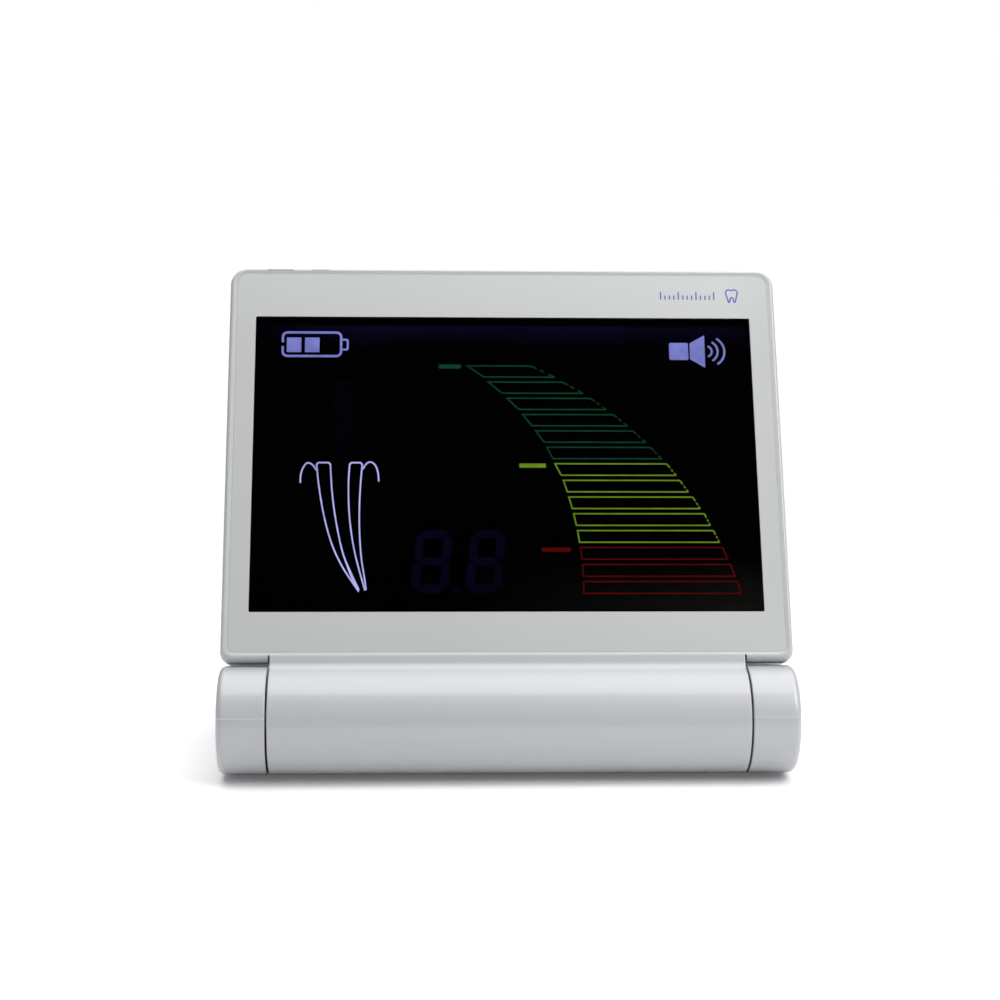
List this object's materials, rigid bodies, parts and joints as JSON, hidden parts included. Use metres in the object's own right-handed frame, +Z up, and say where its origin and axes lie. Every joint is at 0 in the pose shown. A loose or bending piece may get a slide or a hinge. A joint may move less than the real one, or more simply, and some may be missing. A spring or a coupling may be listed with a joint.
{
  "type": "apex locator",
  "caption": "Folding root-canal apex locator: tilting colour display panel on a barrel hinge over a flat battery base, with side sockets, top-edge keys and rubber feet.",
  "frame": {"origin": "centre of the footprint on the table plane, under the four rubber feet", "axes": "+X along the hinge axis to the user's right, +Y from the hinge barrel at the front towards the rear of the base, +Z up; the display faces -Y and up"},
  "size_m": [0.112, 0.104, 0.0973],
  "materials": {
    "shell_plastic": "smooth light grey-white moulded ABS, semi-gloss",
    "printed_lens": "clear hard-coated acrylic, border back-printed light grey around the dark window",
    "lcd_glass": "black colour LCD under a glossy polariser",
    "light_guide": "milky light guide",
    "circuit_board": "green solder-masked glass epoxy",
    "chip_resin": "matt black moulding resin",
    "hinge_steel": "plated steel",
    "screw_steel": "dark nickel-plated steel",
    "foot_rubber": "matt dark grey rubber",
    "button_plastic": "mid-grey moulded ABS",
    "cell_wrap": "blue heat-shrink film",
    "wire_jacket": "black flexible jacket",
    "flex_film": "amber polyimide film",
    "socket_body": "black socket moulding",
    "plated_socket": "nickel-plated steel shell"
  },
  "bodies": {
    "base": {"base_bottom_shell": "shell_plastic", "base_top_shell": "shell_plastic", "hinge_cover_left": "shell_plastic", "hinge_cover_right": "shell_plastic", "hinge_leaf_left": "hinge_steel", "hinge_leaf_right": "hinge_steel", "leaf_screw_left": "screw_steel", "leaf_screw_right": "screw_steel", "battery_pack": "cell_wrap", "battery_connector": "light_guide", "main_board": "circuit_board", "measuring_chip": "chip_resin", "charger_chip": "chip_resin", "measuring_socket": "socket_body", "charging_socket": "plated_socket", "buzzer": "chip_resin", "base_harness": "wire_jacket", "base_screw_1": "screw_steel", "base_screw_2": "screw_steel", "base_screw_3": "screw_steel", "base_screw_4": "screw_steel", "rubber_foot_1": "foot_rubber", "rubber_foot_2": "foot_rubber", "rubber_foot_3": "foot_rubber", "rubber_foot_4": "foot_rubber"},
    "display": {"display_front_frame": "shell_plastic", "display_rear_cover": "shell_plastic", "screen_lens": "printed_lens", "lcd_panel": "lcd_glass", "backlight_panel": "light_guide", "backlight_led": "light_guide", "display_flex": "flex_film", "driver_board": "circuit_board", "driver_chip": "chip_resin", "key_board": "circuit_board", "power_switch": "chip_resin", "set_switch": "chip_resin", "cover_screw_1": "screw_steel", "cover_screw_2": "screw_steel", "cover_screw_3": "screw_steel", "cover_screw_4": "screw_steel", "display_harness": "wire_jacket", "hinge_shaft_left": "hinge_steel", "hinge_shaft_right": "hinge_steel", "hinge_arm_left": "hinge_steel", "hinge_arm_right": "hinge_steel", "friction_washer_left": "hinge_steel", "friction_washer_right": "hinge_steel", "hinge_nut_left": "hinge_steel", "hinge_nut_right": "hinge_steel"},
    "battery_door": {"battery_door": "shell_plastic"},
    "power_button": {"power_button": "button_plastic"},
    "set_button": {"set_button": "button_plastic"}
  },
  "joints": [
    {"name": "screen_tilt", "type": "hinge", "parent": "base", "child": "display", "pos_m": [0, -0.04155, 0.0112], "axis": [1, 0, 0], "range_deg": [-64, 26]},
    {"name": "power_press", "type": "slide", "parent": "display", "child": "power_button", "axis": [0, -0.4384, -0.8988], "range_m": [0, 0.0005]},
    {"name": "set_press", "type": "slide", "parent": "display", "child": "set_button", "axis": [0, -0.4384, -0.8988], "range_m": [0, 0.0005]},
    {"name": "battery_door_slide", "type": "slide", "parent": "base", "child": "battery_door", "axis": [0, 1, 0], "range_m": [0, 0.057]}
  ]
}
